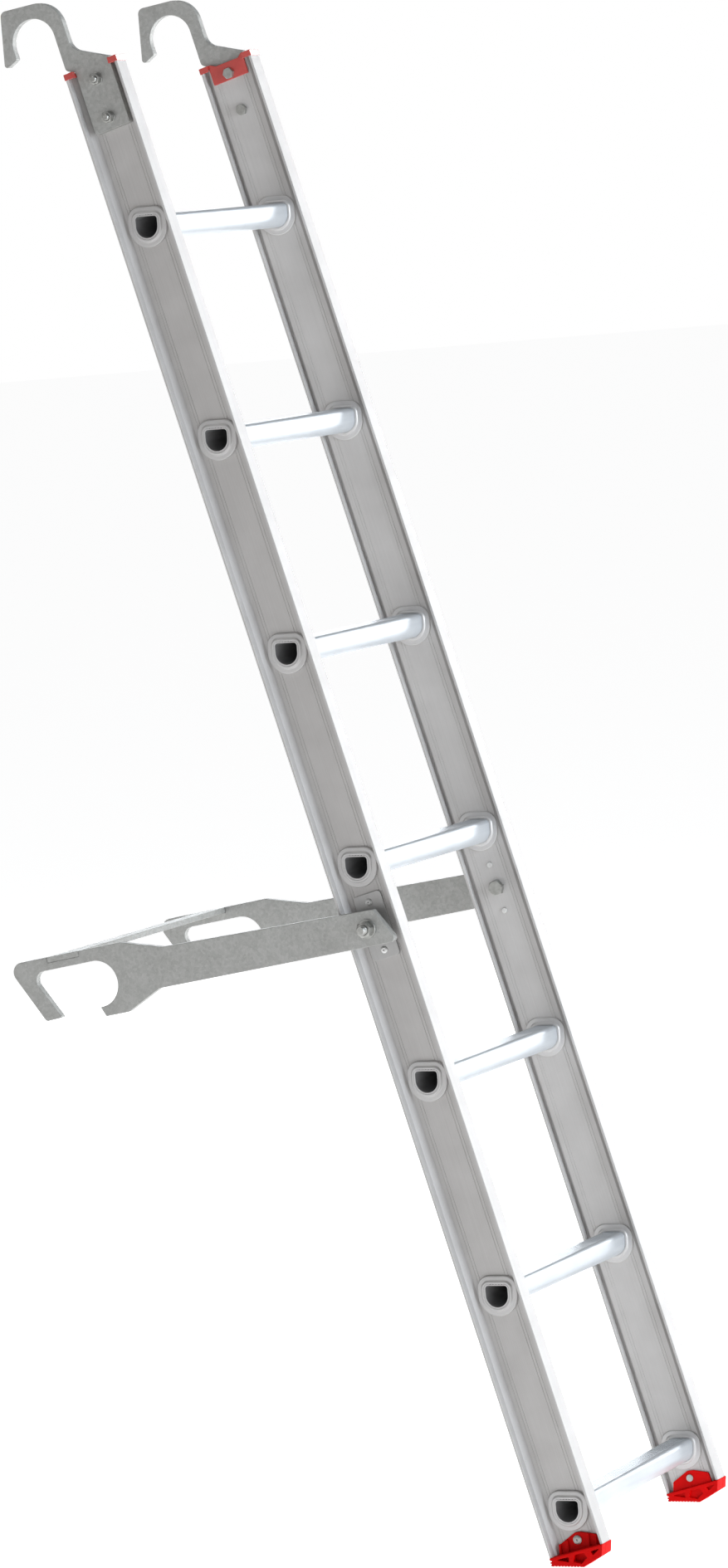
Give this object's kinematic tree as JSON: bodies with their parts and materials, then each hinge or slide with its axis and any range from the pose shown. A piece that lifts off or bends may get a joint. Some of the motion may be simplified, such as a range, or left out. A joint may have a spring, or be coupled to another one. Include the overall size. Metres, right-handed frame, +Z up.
{
  "type": "hook-on access ladder",
  "caption": "Leaning metal ladder with D-section rungs, two top hooks, red feet and a pair of folding stand-off arms that hook over a lower tube.",
  "frame": {"origin": "centre of the top hooks' throat, midway between the stiles", "axes": "+Z up, +Y from the climber's side to the scaffold side, +X across to the climber's right; the stiles lean 15 degrees towards +Y"},
  "size_m": [0.4732, 0.7502, 1.9779],
  "materials": {
    "stile_aluminium": "extruded, satin",
    "rung_aluminium": "bright extruded",
    "collar_aluminium": "pressed, satin",
    "pivot_plate_aluminium": "rolled sheet",
    "galvanised_plate": "hot-dip galvanised, fine grain",
    "zinc_fastener": "bright zinc plated",
    "red_cap": "moulded",
    "red_foot": "moulded, ribbed sole"
  },
  "bodies": {
    "ladder": {"left_stile": "stile_aluminium", "right_stile": "stile_aluminium", "rung_1": "rung_aluminium", "rung_2": "rung_aluminium", "rung_3": "rung_aluminium", "rung_4": "rung_aluminium", "rung_5": "rung_aluminium", "rung_6": "rung_aluminium", "rung_7": "rung_aluminium", "left_outer_collars": "collar_aluminium", "right_outer_collars": "collar_aluminium", "left_inner_collars": "collar_aluminium", "right_inner_collars": "collar_aluminium", "left_top_cap": "red_cap", "right_top_cap": "red_cap", "left_top_hook": "galvanised_plate", "right_top_hook": "galvanised_plate", "hook_bolts": "zinc_fastener", "hook_washers": "zinc_fastener", "hook_nuts": "zinc_fastener", "left_foot": "red_foot", "right_foot": "red_foot", "foot_rivets": "zinc_fastener", "left_pivot_plate": "pivot_plate_aluminium", "right_pivot_plate": "pivot_plate_aluminium", "pivot_plate_rivets": "zinc_fastener", "pivot_bolts": "zinc_fastener", "pivot_spacers": "zinc_fastener", "pivot_washers": "zinc_fastener", "pivot_nuts": "zinc_fastener"},
    "arms": {"left_arm": "galvanised_plate", "right_arm": "galvanised_plate", "arm_cross_bar": "galvanised_plate"}
  },
  "joints": [
    {"name": "arm_fold", "type": "hinge", "parent": "ladder", "child": "arms", "pos_m": [0, -0.37133, -1.12503], "axis": [1, 0, 0], "range_deg": [-96, 72]}
  ]
}
